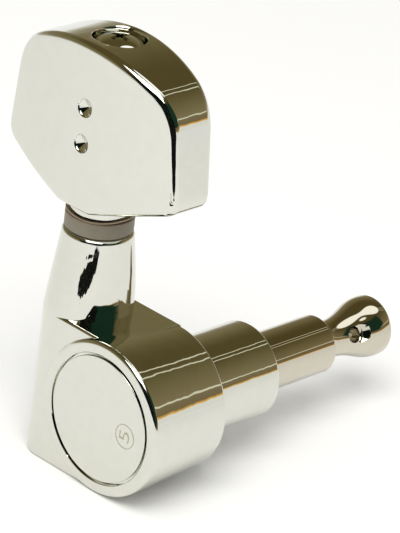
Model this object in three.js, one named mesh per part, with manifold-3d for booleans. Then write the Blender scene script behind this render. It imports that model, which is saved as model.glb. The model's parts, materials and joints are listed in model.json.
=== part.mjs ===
// Guitar tuning machine: the button turns a worm, and the worm turns the wheel on the string post.
//
// Millimetres. The post turns about Y and leaves the case towards +Y. The worm turns about Z and
// carries the button at its upper end. The origin lies on the post axis, in the plane of the face
// that rests against the headstock.

import * as THREE from 'three';
import { mergeVertices } from 'three/addons/utils/BufferGeometryUtils.js';
import Module from 'manifold-3d';

const wasm = await Module();
wasm.setup();

// Facets round a full turn

const sidesCase = 56;
const sidesRound = 40;
const sidesSmall = 20;
const sidesTiny = 12;
const sidesWorm = 28;

// Clearances

const runningGap = 0.05;
const seatGap = 0.04;
const chamberGap = 0.12;
const overrun = 0.5;

// Gear pair

const wheelTeeth = 20;
const wheelPitchRadius = 5.85;
const wormPitchRadius = 2.57;
const wheelWidth = 3.0;
const toothBacklash = 0.07;
const toothTipShare = 0.6;
const toothRootShare = 0.77;
const pressureAngle = Math.PI / 9;

const toothModule = (2 * wheelPitchRadius) / wheelTeeth;
const toothPitch = Math.PI * toothModule;
const toothTip = toothModule * toothTipShare;
const toothRoot = toothModule * toothRootShare;
const wheelTipRadius = wheelPitchRadius + toothTip;
const wheelRootRadius = wheelPitchRadius - toothRoot;
const wormTipRadius = wormPitchRadius + toothTip;
const wormRootRadius = wormPitchRadius - toothRoot;
const axisDistance = wheelPitchRadius + wormPitchRadius;

// String post

const postRadius = 3.05;
const postReach = 10.35;
const postShoulderEdge = 0.3;
const postBackEdge = 0.25;
const waistRadius = 1.95;
const waistLength = 1.5;
const headRadius = 3.2;
const headFlareLength = 5.9;
const headBandLength = 0.45;
const headEdge = 0.55;
const stringHoleRadius = 0.8;
const stringHoleRimRadius = 1.05;
const stringHoleRimDepth = 0.25;
const stringHoleFromShoulder = 3.75;
const stringHoleTurn = -0.38;
const driveRadius = 2.55;
const driveFlatHalf = 1.9;
const postTapDepth = 5.0;

// Post bearing and the pieces stacked on the post

const bushWall = 0.95;
const bushLength = 6.4;
const bushFlangeWidth = 1.0;
const bushFlangeThickness = 0.6;
const thrustWasherThickness = 0.4;
const thrustWasherWidth = 1.75;
const wheelHubWidth = 1.1;
const wheelRimWidth = 1.1;
const wheelFaceRecess = 0.5;
const wheelWasherThickness = 0.4;
const wheelWasherRadius = 3.3;
const lockWasherThickness = 0.45;
const lockWasherRadius = 2.35;
const lockWasherGapTurn = 0.3;
const wheelScrewRadius = 1.2;
const wheelScrewHeadRadius = 2.25;
const wheelScrewHeadHeight = 1.3;
const wheelScrewReach = 4.2;
const wheelScrewSlotWidth = 0.6;
const wheelScrewSlotDepth = 0.6;

// Case, collar and rear cover

const collarWall = 0.9;
const collarLength = 10.1;
const collarEdge = 0.3;
const floorThickness = 1.79;
const headRoom = 0.89;
const coverThickness = 1.14;
const coverLedge = 0.37;
const coverGrooveWidth = 0.22;
const coverGrooveDepth = 0.5;
const rimWall = 1.25;
const rimRound = 0.5;
const caseDraft = 0.5;
const caseFrontEdge = 0.25;
const facetDrop = 0.34;
const rimStandTop = 0.85;
const rimStandFoot = 0.3;
const blockEdge = 0.3;
const blockDraft = 0.48;
const pinRadius = 0.7;
const pinReach = 2.0;
const pinSeatDepth = 1.3;
const pinEdge = 0.2;
const pinTurn = 0.69 * Math.PI;

// Arm round the worm shaft

const armWall = 0.6;
const armTopHeight = 15.85;
const armEndRound = 0.5;
const armBaseHalf = 4.27;
const armHeightShares = [0, 0.12, 0.3, 0.55, 0.8, 1];
const armTaperShares = [0, 0.13, 0.31, 0.56, 0.8, 1];

// Worm shaft and its bearings

const wormLength = 8.4;
const wormEndEdge = 0.6;
const wormBoreGap = 0.1;
const pilotRadius = 1.2;
const lowerBushLength = 1.5;
const shaftRadius = 1.9;
const shaftFlatHalf = 1.45;
const shaftReach = 11.0;
const shaftTipEdge = 0.25;
const shaftWasherThickness = 0.4;
const armWasherThickness = 1.65;
const armWasherInset = 0.18;
const armWasherEdge = 0.15;
const waveWasherThickness = 0.16;
const waveHeight = 0.16;
const waveCount = 3;

// Button and its screw

const buttonNeckRadius = 3.15;
const buttonNeckHeight = 0.83;
const buttonFootHalf = 2.12;
const buttonHipHalf = 11.98;
const buttonHipRise = 3.3;
const buttonShoulderHalf = 10.69;
const buttonShoulderRise = 13.58;
const buttonHeight = 17.19;
const buttonHipRound = 1.6;
const buttonShoulderRound = 2.8;
const buttonFrontReach = 4.22;
const buttonFrontBulge = 2.19;
const buttonFrontRound = 0.6;
const buttonBackReach = 3.55;
const buttonBackBulge = 0.95;
const buttonBackRound = 0.84;
const counterboreDepth = 2.65;
const counterboreRadius = 2.68;
const counterboreEdge = 0.3;
const dimpleRadius = 0.7;
const dimpleDepth = 0.75;
const dimpleWallShare = 0.75;
const dimpleLowerRise = 6.9;
const dimpleUpperRise = 10.65;
const buttonScrewRadius = 0.95;
const buttonScrewHeadRadius = 2.15;
const buttonScrewHeadHeight = 1.35;
const buttonScrewHeadEdge = 0.45;
const buttonScrewReach = 9.4;
const buttonScrewCrossWidth = 0.5;
const buttonScrewCrossLength = 2.3;
const buttonScrewCrossDepth = 0.8;
const screwWasherThickness = 0.3;
const screwWasherRadius = 2.35;

// Places along the post axis, from the headstock face backwards

const flangeFront = -floorThickness - seatGap;
const flangeBack = flangeFront - bushFlangeThickness;
const thrustFront = flangeBack - seatGap;
const thrustBack = thrustFront - thrustWasherThickness;
const wheelFront = thrustBack - runningGap;
const wheelBack = wheelFront - wheelWidth;
const wormDepth = (wheelFront + wheelBack) / 2;
const wheelWasherFront = wheelBack - seatGap;
const wheelWasherBack = wheelWasherFront - wheelWasherThickness;
const lockWasherFront = wheelWasherBack - seatGap;
const lockWasherBack = lockWasherFront - lockWasherThickness;
const screwHeadFront = lockWasherBack - seatGap;
const screwHeadBack = screwHeadFront - wheelScrewHeadHeight;
const coverSeat = screwHeadBack - headRoom;
const caseBack = coverSeat - coverThickness;
const shoulderPlace = collarLength + postReach;

// Radii that follow from the pieces inside

const bushBore = postRadius + runningGap;
const bushRadius = bushBore + bushWall;
const collarBore = bushRadius + seatGap;
const collarRadius = collarBore + collarWall;
const chamberRadius = wheelTipRadius + chamberGap;
const coverOpeningRadius = chamberRadius + coverLedge;
const coverRadius = coverOpeningRadius - seatGap;
const caseBackRadius = coverOpeningRadius + rimWall;
const caseFrontRadius = caseBackRadius - caseDraft;
const facetHeight = caseBackRadius - facetDrop;
const wormBore = wormTipRadius + wormBoreGap;
const armTopRadius = wormBore + armWall;
const armBaseDeep = wormDepth - caseBack - rimStandTop;
const blockLeftTop = axisDistance + armBaseHalf;
const blockLeftFoot = blockLeftTop - blockDraft;

// Places along the worm axis, from the foot upwards

const wormTop = wormLength / 2;
const lowerBushTop = -wormTop - wormBoreGap;
const lowerBushFoot = lowerBushTop - lowerBushLength;
const wormBoreFloor = lowerBushFoot - seatGap;
const shaftWasherFoot = wormTop + runningGap;
const shaftWasherTop = shaftWasherFoot + shaftWasherThickness;
const sleeveFoot = shaftWasherTop + seatGap;
const sleeveTop = armTopHeight - seatGap;
const armWasherFoot = armTopHeight + seatGap;
const armWasherTop = armWasherFoot + armWasherThickness;
const waveFoot = armWasherTop + seatGap;
const waveTop = waveFoot + waveWasherThickness + waveHeight;
const neckFoot = waveTop + seatGap;
const buttonFoot = neckFoot + buttonNeckHeight;
const shaftTop = neckFoot + shaftReach;
const socketTop = shaftTop + seatGap;
const buttonCrown = buttonFoot + buttonHeight;
const counterboreFloor = buttonCrown - counterboreDepth;
const screwWasherFoot = counterboreFloor + seatGap;
const screwWasherTop = screwWasherFoot + screwWasherThickness;
const buttonScrewHeadFoot = screwWasherTop + seatGap;
const buttonScrewHeadTop = buttonScrewHeadFoot + buttonScrewHeadHeight;

// Solids

function closedGeometry(points, triangles) {
  const geometry = new THREE.BufferGeometry();
  geometry.setAttribute('position', new THREE.Float32BufferAttribute(points, 3));
  geometry.setIndex(triangles);
  return geometry;
}

// A closed mesh with shared corners merged, flat triangles left out and faces turned outwards
function welded(source) {
  const plain = source.clone();
  plain.deleteAttribute('normal');
  plain.deleteAttribute('uv');
  const merged = mergeVertices(plain);
  const place = merged.attributes.position;
  const index = merged.index.array;
  const kept = [];
  const a = new THREE.Vector3();
  const b = new THREE.Vector3();
  const c = new THREE.Vector3();
  let volume = 0;
  for (let i = 0; i < index.length; i += 3) {
    const [p, q, r] = [index[i], index[i + 1], index[i + 2]];
    if (p === q || q === r || r === p) continue;
    kept.push(p, q, r);
    a.fromBufferAttribute(place, p);
    b.fromBufferAttribute(place, q);
    c.fromBufferAttribute(place, r);
    volume += a.dot(b.cross(c));
  }
  if (volume < 0) kept.reverse();
  return closedGeometry(Array.from(place.array), kept);
}

function solidOf(source) {
  const geometry = welded(source);
  return new wasm.Manifold(new wasm.Mesh({
    numProp: 3,
    vertProperties: new Float32Array(geometry.attributes.position.array),
    triVerts: new Uint32Array(geometry.index.array),
  }));
}

function geometryOf(solid) {
  const mesh = solid.getMesh();
  return closedGeometry(Array.from(mesh.vertProperties), Array.from(mesh.triVerts));
}

function joined(...sources) {
  return geometryOf(sources.map(solidOf).reduce((whole, next) => whole.add(next)));
}

function cutBy(source, ...tools) {
  return geometryOf(tools.map(solidOf).reduce((whole, tool) => whole.subtract(tool), solidOf(source)));
}

function common(source, other) {
  return geometryOf(solidOf(source).intersect(solidOf(other)));
}

// A body of revolution about Y from pairs of radius and height
function revolve(profile, sides) {
  return new THREE.LatheGeometry(profile.map(([r, y]) => new THREE.Vector2(r, y)), sides);
}

function disc(radius, low, high, sides) {
  return revolve([[0, low], [radius, low], [radius, high], [0, high]], sides);
}

function ring(inner, outer, low, high, sides) {
  return revolve([[inner, low], [outer, low], [outer, high], [inner, high], [inner, low]], sides);
}

function block(x0, x1, y0, y1, z0, z1) {
  const geometry = new THREE.BoxGeometry(x1 - x0, y1 - y0, z1 - z0);
  return geometry.translate((x0 + x1) / 2, (y0 + y1) / 2, (z0 + z1) / 2);
}

// Quarter arc of a rounded edge, as pairs of radius and height, both ends included
function roundedEdge(cornerRadius, cornerHeight, round, alongHeight, steps) {
  const points = [];
  for (let i = 0; i <= steps; i += 1) {
    const turn = (Math.PI / 2) * (i / steps);
    const inward = round * (1 - Math.cos(turn));
    const back = round * (1 - Math.sin(turn));
    points.push([cornerRadius - inward, cornerHeight - alongHeight * back]);
  }
  return points;
}

// Triangles across an outline that runs once to the right and once back
function acrossOutline(outline) {
  const count = outline.length;
  const xs = outline.map((p) => p.x);
  const left = xs.indexOf(Math.min(...xs));
  const right = xs.indexOf(Math.max(...xs));
  const chain = (step) => {
    const corners = [left];
    for (let i = left; i !== right;) {
      i = (i + step) % count;
      corners.push(i);
    }
    return corners;
  };
  const [below, above] = [chain(1), chain(count - 1)];
  const triangles = [];
  let [a, b] = [0, 0];
  while (a + 1 < below.length || b + 1 < above.length) {
    const stepBelow = b + 1 === above.length
      || (a + 1 < below.length && xs[below[a + 1]] < xs[above[b + 1]]);
    const next = stepBelow ? below[a + 1] : above[b + 1];
    const [from, to] = [below[a], above[b]];
    if (from !== to && next !== from && next !== to) triangles.push([from, next, to]);
    if (stepBelow) a += 1;
    else b += 1;
  }
  return triangles;
}

// A solid through a stack of outlines that all have the same number of corners
function loft(sections) {
  const count = sections[0].length;
  const points = sections.flatMap((section) => section.flatMap((p) => [p.x, p.y, p.z]));
  const triangles = [];
  for (let s = 0; s + 1 < sections.length; s += 1) {
    for (let i = 0; i < count; i += 1) {
      const next = (i + 1) % count;
      const [a, b] = [s * count + i, s * count + next];
      triangles.push(a, b, b + count, a, b + count, a + count);
    }
  }
  const top = (sections.length - 1) * count;
  acrossOutline(sections[0]).forEach(([a, b, c]) => triangles.push(a, c, b));
  acrossOutline(sections[sections.length - 1]).forEach(([a, b, c]) => {
    triangles.push(top + a, top + b, top + c);
  });
  return closedGeometry(points, triangles);
}

// Moves an upright outline inwards by the same distance all round
function inset(outline, distance) {
  return outline.map((p, i) => {
    const before = outline[(i + outline.length - 1) % outline.length];
    const after = outline[(i + 1) % outline.length];
    const along = new THREE.Vector2(after.x - before.x, after.y - before.y).normalize();
    return new THREE.Vector2(p.x - along.y * distance, p.y + along.x * distance);
  });
}

// Materials

function metal(color, roughness) {
  return new THREE.MeshStandardMaterial({ color, roughness, metalness: 1 });
}

const chrome = () => metal(0xd9dad2, 0.06);
const steel = () => metal(0xa9abab, 0.28);
const bronze = () => metal(0xb08a4a, 0.32);
const brass = () => metal(0xc9a55c, 0.25);
const nylon = (color) => new THREE.MeshStandardMaterial({ color, roughness: 0.5, metalness: 0 });

function piece(name, geometry, material) {
  const flat = geometry.index ? geometry.toNonIndexed() : geometry;
  flat.computeVertexNormals();
  const mesh = new THREE.Mesh(flat, material);
  mesh.name = name;
  return mesh;
}

// Housing

function caseBody() {
  const low = roundedEdge(caseBackRadius, caseBack, rimRound, -1, 4);
  const rim = low.reverse();
  return revolve([
    [0, caseBack],
    ...rim,
    [caseFrontRadius, -caseFrontEdge],
    [caseFrontRadius - caseFrontEdge, 0],
    [0, 0],
  ], sidesCase);
}

function collarBody() {
  return revolve([
    [0, -floorThickness / 2],
    [collarRadius, -floorThickness / 2],
    [collarRadius, collarLength - collarEdge],
    [collarRadius - collarEdge, collarLength],
    [0, collarLength],
  ], sidesCase);
}

// A point of the oval round the worm axis, which stays behind the headstock face
function aroundWormAxis(turn, across, deep, height, trim) {
  const reach = turn < Math.PI ? Math.min(deep, -wormDepth) : deep;
  const x = (across - trim) * Math.cos(turn) - axisDistance;
  return new THREE.Vector3(x, (reach - trim) * Math.sin(turn) + wormDepth, height);
}

// The block's outline at one height: flat towards the headstock, round at the arm's end
function blockOutline(height, back, left, trim) {
  const points = [new THREE.Vector3(0, -trim, height)];
  const steps = sidesRound / 2;
  for (let i = 0; i <= steps; i += 1) {
    const turn = Math.PI / 2 + Math.PI * (i / steps);
    points.push(aroundWormAxis(turn, left - axisDistance, wormDepth - back, height, trim));
  }
  points.push(new THREE.Vector3(0, back + trim, height));
  return points;
}

function blockBody() {
  const backTop = caseBack + rimStandTop;
  const backFoot = caseBack + rimStandFoot;
  const foot = -caseBackRadius;
  const { mapLinear } = THREE.MathUtils;
  const backAt = (height) => mapLinear(height, foot, facetHeight, backFoot, backTop);
  const leftAt = (height) => mapLinear(height, foot, facetHeight, blockLeftFoot, blockLeftTop);
  const low = foot + blockEdge;
  const high = facetHeight - blockEdge;
  const edge = blockEdge / 2;
  return loft([
    blockOutline(foot, backAt(foot), leftAt(foot), blockEdge),
    blockOutline(foot + blockEdge - edge, backAt(foot), leftAt(foot), blockEdge - edge - edge / 2),
    blockOutline(low, backAt(low), leftAt(low), 0),
    blockOutline(high, backAt(high), leftAt(high), 0),
    blockOutline(high + edge, backAt(facetHeight), blockLeftTop, blockEdge - edge - edge / 2),
    blockOutline(facetHeight, backAt(facetHeight), blockLeftTop, blockEdge),
  ].map((section) => section.map((p) => new THREE.Vector3(p.x, Math.min(p.y, 0), p.z))));
}

// The arm's oval outline at one height
function armOutline(across, deep, height, trim) {
  const turns = Array.from({ length: sidesCase }, (_, i) => (i / sidesCase) * Math.PI * 2);
  return turns.map((turn) => aroundWormAxis(turn, across, deep, height, trim));
}

function armBody() {
  const rise = armTopHeight - armEndRound - facetHeight;
  const wall = armHeightShares.slice(0, -1).map((share, i) => {
    const across = THREE.MathUtils.lerp(armBaseHalf, armTopRadius, armTaperShares[i]);
    const deep = THREE.MathUtils.lerp(armBaseDeep, armTopRadius, armTaperShares[i]);
    return armOutline(across, deep, facetHeight + rise * share, 0);
  });
  const end = roundedEdge(armTopRadius, armTopHeight, armEndRound, 1, 4);
  return loft([
    armOutline(armBaseHalf, armBaseDeep, 0, blockEdge),
    armOutline(armBaseHalf, armBaseDeep, facetHeight - blockEdge, blockEdge),
    armOutline(armBaseHalf, armBaseDeep, facetHeight - blockEdge / 2, 0),
    ...wall,
    ...end.map(([radius, height]) => armOutline(radius, radius, height, 0)),
  ]);
}

// Turns a body of revolution about Y onto the worm axis
function upright(geometry) {
  return geometry.rotateX(Math.PI / 2).translate(-axisDistance, wormDepth, 0);
}

function pinPlace(index) {
  const radius = (collarRadius + caseFrontRadius - caseFrontEdge) / 2;
  const turn = pinTurn + Math.PI * index;
  return new THREE.Vector3(radius * Math.cos(turn), 0, radius * Math.sin(turn));
}

function pinSeat(index) {
  const at = pinPlace(index);
  return disc(pinRadius + seatGap, -pinSeatDepth - seatGap, overrun, sidesSmall).translate(at.x, 0, at.z);
}

function housing() {
  const outside = joined(caseBody(), collarBody(), blockBody(), armBody());
  const chamber = disc(chamberRadius, coverSeat - overrun, -floorThickness, sidesCase);
  const opening = disc(coverOpeningRadius, caseBack - overrun, coverSeat, sidesCase);
  const postBore = disc(collarBore, -floorThickness - overrun, collarLength + overrun, sidesRound);
  const bore = upright(disc(wormBore, wormBoreFloor, armTopHeight + overrun, sidesRound));
  return cutBy(outside, chamber, opening, postBore, bore, pinSeat(0), pinSeat(1));
}

function coverPlate() {
  const plate = coverRadius - coverGrooveWidth;
  const groove = caseBack + coverGrooveDepth;
  const front = coverSeat - seatGap;
  return revolve([
    [0, caseBack],
    [plate, caseBack],
    [plate, groove],
    [coverRadius, groove],
    [coverRadius, front],
    [0, front],
  ], sidesCase);
}

function locatingPin() {
  return revolve([
    [0, -pinSeatDepth],
    [pinRadius, -pinSeatDepth],
    [pinRadius, pinReach - pinEdge],
    [pinRadius - pinEdge, pinReach],
    [0, pinReach],
  ], sidesSmall);
}

// Post bearing

function postBush() {
  const flange = bushRadius + bushFlangeWidth;
  return revolve([
    [bushBore, flangeBack],
    [flange, flangeBack],
    [flange, flangeFront],
    [bushRadius, flangeFront],
    [bushRadius, flangeBack + bushLength],
    [bushBore, flangeBack + bushLength],
    [bushBore, flangeBack],
  ], sidesRound);
}

function postThrustWasher() {
  const inner = postRadius + wormBoreGap;
  return ring(inner, inner + thrustWasherWidth, thrustBack, thrustFront, sidesRound);
}

// String post

function postProfile() {
  const shoulder = shoulderPlace;
  const waistStart = shoulder + waistLength;
  const headStart = shoulder + waistLength + headFlareLength;
  const flare = new THREE.CubicBezierCurve(
    new THREE.Vector2(waistRadius, waistStart),
    new THREE.Vector2(waistRadius, waistStart + headFlareLength / 2),
    new THREE.Vector2(headRadius, headStart - headFlareLength / 3),
    new THREE.Vector2(headRadius, headStart),
  );
  const end = headStart + headBandLength + headEdge;
  const neckRound = (postRadius - waistRadius) / 3;
  return [
    [0, wheelBack + seatGap],
    [driveRadius, wheelBack + seatGap],
    [driveRadius, wheelFront + seatGap],
    [postRadius - postBackEdge, wheelFront + seatGap],
    [postRadius, wheelFront + seatGap + postBackEdge],
    [postRadius, shoulder - postShoulderEdge],
    [postRadius - postShoulderEdge, shoulder],
    [waistRadius + neckRound, shoulder + neckRound / 2],
    [waistRadius, shoulder + waistLength / 2],
    ...flare.getPoints(9).map((p) => [p.x, p.y]),
    ...roundedEdge(headRadius, end, headEdge, 1, 3),
    [0, end],
  ];
}

// Two flats on a round shaft or in a round hole, about Y
function doubleFlat(radius, half, low, high) {
  return common(disc(radius, low, high, sidesRound), block(-half, half, low, high, -radius, radius));
}

function stringHole() {
  const reach = headRadius + overrun;
  const bore = disc(stringHoleRadius, -reach, reach, sidesSmall);
  const hole = shoulderPlace + stringHoleFromShoulder;
  const mouth = revolve([
    [0, waistRadius - stringHoleRimDepth],
    [stringHoleRadius, waistRadius - stringHoleRimDepth],
    [stringHoleRimRadius + stringHoleRimDepth, waistRadius + stringHoleRimDepth],
    [stringHoleRimRadius + stringHoleRimDepth, reach],
    [0, reach],
  ], sidesSmall);
  const other = mouth.clone().rotateX(Math.PI);
  return joined(bore, mouth, other).rotateZ(-Math.PI / 2).rotateY(stringHoleTurn).translate(0, hole, 0);
}

function stringPost() {
  const blank = revolve(postProfile(), sidesRound);
  const low = wheelBack - overrun;
  const sideCuts = [-1, 1].map((side) => {
    const near = side * driveFlatHalf;
    const far = side * (postRadius + overrun);
    return block(Math.min(near, far), Math.max(near, far), low, wheelFront + seatGap,
      -postRadius, postRadius);
  });
  const tap = disc(wheelScrewRadius + runningGap, low, wheelBack + postTapDepth, sidesSmall);
  return cutBy(blank, ...sideCuts, tap, stringHole());
}

// Worm wheel

function involuteAngle(radius, base) {
  const slope = Math.acos(Math.min(1, base / radius));
  return Math.tan(slope) - slope;
}

function wheelOutline() {
  const base = wheelPitchRadius * Math.cos(pressureAngle);
  const halfTooth = (toothPitch / 2 - toothBacklash) / 2 / wheelPitchRadius;
  const whole = halfTooth + involuteAngle(wheelPitchRadius, base);
  const start = Math.max(base, wheelRootRadius);
  const flankSteps = 2;
  const outline = [];
  const add = (radius, turn) => {
    outline.push(new THREE.Vector2(radius * Math.cos(turn), radius * Math.sin(turn)));
  };
  for (let tooth = 0; tooth < wheelTeeth; tooth += 1) {
    const middle = ((tooth + 0.5) / wheelTeeth) * Math.PI * 2 + Math.PI;
    const flank = [];
    for (let i = 0; i <= flankSteps; i += 1) {
      const radius = THREE.MathUtils.lerp(start, wheelTipRadius, i / flankSteps);
      flank.push([radius, whole - involuteAngle(radius, base)]);
    }
    if (wheelRootRadius < start) add(wheelRootRadius, middle - whole);
    flank.forEach(([radius, half]) => add(radius, middle - half));
    flank.reverse().forEach(([radius, half]) => add(radius, middle + half));
    if (wheelRootRadius < start) add(wheelRootRadius, middle + whole);
  }
  return outline;
}

// The teeth lean with the worm's lead, so each end of the wheel is turned a little
function wheelBlank() {
  const lean = toothPitch / (Math.PI * 2 * wormPitchRadius);
  const outline = wheelOutline();
  const faces = THREE.ShapeUtils.triangulateShape(outline, []);
  const count = outline.length;
  const points = [];
  const triangles = [];
  const levels = 2;
  for (let s = 0; s <= levels; s += 1) {
    const y = THREE.MathUtils.lerp(wheelBack, wheelFront, s / levels);
    const turn = ((y - wormDepth) * lean) / wheelPitchRadius;
    const [cos, sin] = [Math.cos(turn), Math.sin(turn)];
    outline.forEach((p) => points.push(p.x * cos + p.y * sin, y, p.y * cos - p.x * sin));
  }
  for (let s = 0; s < levels; s += 1) {
    for (let i = 0; i < count; i += 1) {
      const [a, b] = [s * count + i, s * count + ((i + 1) % count)];
      triangles.push(a, b, b + count, a, b + count, a + count);
    }
  }
  faces.forEach(([a, b, c]) => {
    triangles.push(a, c, b, levels * count + a, levels * count + b, levels * count + c);
  });
  return closedGeometry(points, triangles);
}

function wormWheel() {
  const hub = driveRadius + wheelHubWidth;
  const rim = wheelRootRadius - wheelRimWidth;
  const bore = doubleFlat(
    driveRadius + seatGap, driveFlatHalf + seatGap, wheelBack - overrun, wheelFront + overrun);
  const front = ring(hub, Math.max(rim, hub + seatGap), wheelFront - wheelFaceRecess,
    wheelFront + overrun, sidesRound);
  const back = ring(hub, Math.max(rim, hub + seatGap), wheelBack - overrun,
    wheelBack + wheelFaceRecess, sidesRound);
  return cutBy(wheelBlank(), bore, front, back);
}

function wheelWasher() {
  return ring(wheelScrewRadius + runningGap, wheelWasherRadius, wheelWasherBack, wheelWasherFront,
    sidesRound);
}

// A spring ring split at one place
function lockWasher() {
  const inner = wheelScrewRadius + runningGap;
  const shape = new THREE.Shape();
  shape.absarc(0, 0, lockWasherRadius, lockWasherGapTurn / 2, Math.PI * 2 - lockWasherGapTurn / 2, false);
  shape.absarc(0, 0, inner, Math.PI * 2 - lockWasherGapTurn / 2, lockWasherGapTurn / 2, true);
  const washer = new THREE.ExtrudeGeometry(shape, {
    depth: lockWasherThickness, bevelEnabled: false, curveSegments: sidesSmall,
  });
  return welded(washer.rotateX(Math.PI / 2).translate(0, lockWasherFront, 0));
}

function wheelScrew() {
  const edge = wheelScrewHeadHeight / 4;
  const body = revolve([
    [0, screwHeadBack],
    [wheelScrewHeadRadius - edge, screwHeadBack],
    [wheelScrewHeadRadius, screwHeadBack + edge],
    [wheelScrewHeadRadius, screwHeadFront],
    [wheelScrewRadius, screwHeadFront],
    [wheelScrewRadius, wheelBack + wheelScrewReach],
    [0, wheelBack + wheelScrewReach],
  ], sidesSmall);
  const half = wheelScrewSlotWidth / 2;
  const far = wheelScrewHeadRadius + overrun;
  return cutBy(body, block(-far, far, screwHeadBack - overrun, screwHeadBack + wheelScrewSlotDepth,
    -half, half));
}

// Worm shaft, modelled about Y and turned upright by its group

// One ring of corners of the thread: root, flank, crest, flank
function threadProfile() {
  const half = (toothPitch / 2 - toothBacklash) / 2;
  const slope = Math.tan(pressureAngle);
  return [
    [wormRootRadius, -half - toothRoot * slope],
    [wormTipRadius, -half + toothTip * slope],
    [wormTipRadius, half - toothTip * slope],
    [wormRootRadius, half + toothRoot * slope],
  ];
}

function threadRod() {
  const profile = threadProfile();
  const turns = Math.ceil(wormLength / toothPitch) + 4;
  const first = -Math.floor(turns / 2);
  const rows = [];
  for (let turn = 0; turn < turns; turn += 1) {
    profile.forEach(([r, y]) => rows.push([r, y + (first + turn) * toothPitch]));
  }
  const each = profile.length;
  const points = [];
  for (let i = 0; i < sidesWorm; i += 1) {
    const angle = (i / sidesWorm) * Math.PI * 2;
    const rise = (i / sidesWorm) * toothPitch;
    rows.forEach(([r, y]) => points.push(r * Math.cos(angle), y + rise, -r * Math.sin(angle)));
  }
  const foot = points.length / 3;
  points.push(0, rows[0][1] - toothPitch, 0);
  const top = foot + 1;
  points.push(0, rows[rows.length - 1][1] + toothPitch * 2, 0);
  const at = (i, k) => (i < sidesWorm ? i * rows.length + k : k + each);
  const triangles = [];
  for (let i = 0; i < sidesWorm; i += 1) {
    const last = i === sidesWorm - 1;
    const count = last ? rows.length - each : rows.length;
    for (let k = 0; k + 1 < count; k += 1) {
      const [a, b, c, d] = [at(i, k), at(i + 1, k), at(i + 1, k + 1), at(i, k + 1)];
      triangles.push(a, b, c, a, c, d);
    }
    triangles.push(foot, at(i + 1, 0), at(i, 0));
    if (!last) triangles.push(top, at(i, rows.length - 1), at(i + 1, rows.length - 1));
  }
  for (let k = 0; k < each; k += 1) {
    triangles.push(foot, at(0, k), at(0, k + 1));
    const high = rows.length - 1 - k;
    triangles.push(top, at(sidesWorm - 1, high), at(sidesWorm - 1, high - 1));
  }
  triangles.push(top, at(sidesWorm - 1, rows.length - 1 - each), rows.length - 1);
  return closedGeometry(points, triangles);
}

function worm() {
  const blank = revolve([
    [0, -wormTop],
    [wormRootRadius, -wormTop],
    [wormTipRadius + seatGap, -wormTop + wormEndEdge],
    [wormTipRadius + seatGap, wormTop - wormEndEdge],
    [wormRootRadius, wormTop],
    [0, wormTop],
  ], sidesRound);
  return common(threadRod(), blank);
}

function wormShaft() {
  const spindle = revolve([
    [0, lowerBushFoot + seatGap],
    [pilotRadius, lowerBushFoot + seatGap],
    [pilotRadius, 0],
    [shaftRadius, 0],
    [shaftRadius, shaftTop - shaftTipEdge],
    [shaftRadius - shaftTipEdge, shaftTop],
    [0, shaftTop],
  ], sidesRound);
  const tap = disc(buttonScrewRadius + runningGap, buttonScrewHeadFoot - buttonScrewReach - seatGap,
    shaftTop + overrun, sidesSmall);
  const flats = [-1, 1].map((side) => {
    const near = side * shaftFlatHalf;
    const far = side * (shaftRadius + overrun);
    return block(Math.min(near, far), Math.max(near, far), neckFoot - seatGap / 2, shaftTop + overrun,
      -shaftRadius, shaftRadius);
  });
  return cutBy(joined(worm(), spindle), tap, ...flats);
}

function wormLowerBush() {
  return ring(pilotRadius + runningGap, wormBore - seatGap, lowerBushFoot, lowerBushTop, sidesRound);
}

function shaftWasher() {
  return ring(shaftRadius + wormBoreGap, wormBore - wormBoreGap, shaftWasherFoot, shaftWasherTop,
    sidesRound);
}

function wormSleeve() {
  return ring(shaftRadius + runningGap, wormBore - seatGap, sleeveFoot, sleeveTop, sidesRound);
}

function armWasher() {
  const inner = shaftRadius + wormBoreGap;
  const outer = armTopRadius - armWasherInset;
  return revolve([
    [inner, armWasherFoot],
    [outer - armWasherEdge, armWasherFoot],
    [outer, armWasherFoot + armWasherEdge],
    [outer, armWasherTop - armWasherEdge],
    [outer - armWasherEdge, armWasherTop],
    [inner, armWasherTop],
    [inner, armWasherFoot],
  ], sidesRound);
}

// A spring washer bent into waves
function waveWasher() {
  const inner = shaftRadius + wormBoreGap;
  const outer = armTopRadius - armWasherInset;
  const points = [];
  const triangles = [];
  const corners = [[inner, 0], [outer, 0], [outer, waveWasherThickness], [inner, waveWasherThickness]];
  for (let i = 0; i < sidesRound; i += 1) {
    const turn = (i / sidesRound) * Math.PI * 2;
    const lift = (waveHeight / 2) * (1 + Math.cos(turn * waveCount));
    corners.forEach(([r, y]) => {
      points.push(r * Math.cos(turn), waveFoot + y + lift, r * Math.sin(turn));
    });
    for (let k = 0; k < corners.length; k += 1) {
      const next = (i + 1) % sidesRound;
      const [a, b] = [i * corners.length + k, i * corners.length + ((k + 1) % corners.length)];
      const [c, d] = [next * corners.length + k, next * corners.length + ((k + 1) % corners.length)];
      triangles.push(a, b, d, a, d, c);
    }
  }
  return welded(closedGeometry(points, triangles));
}

// Button, modelled upright in X and Y with its face towards Z

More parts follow.
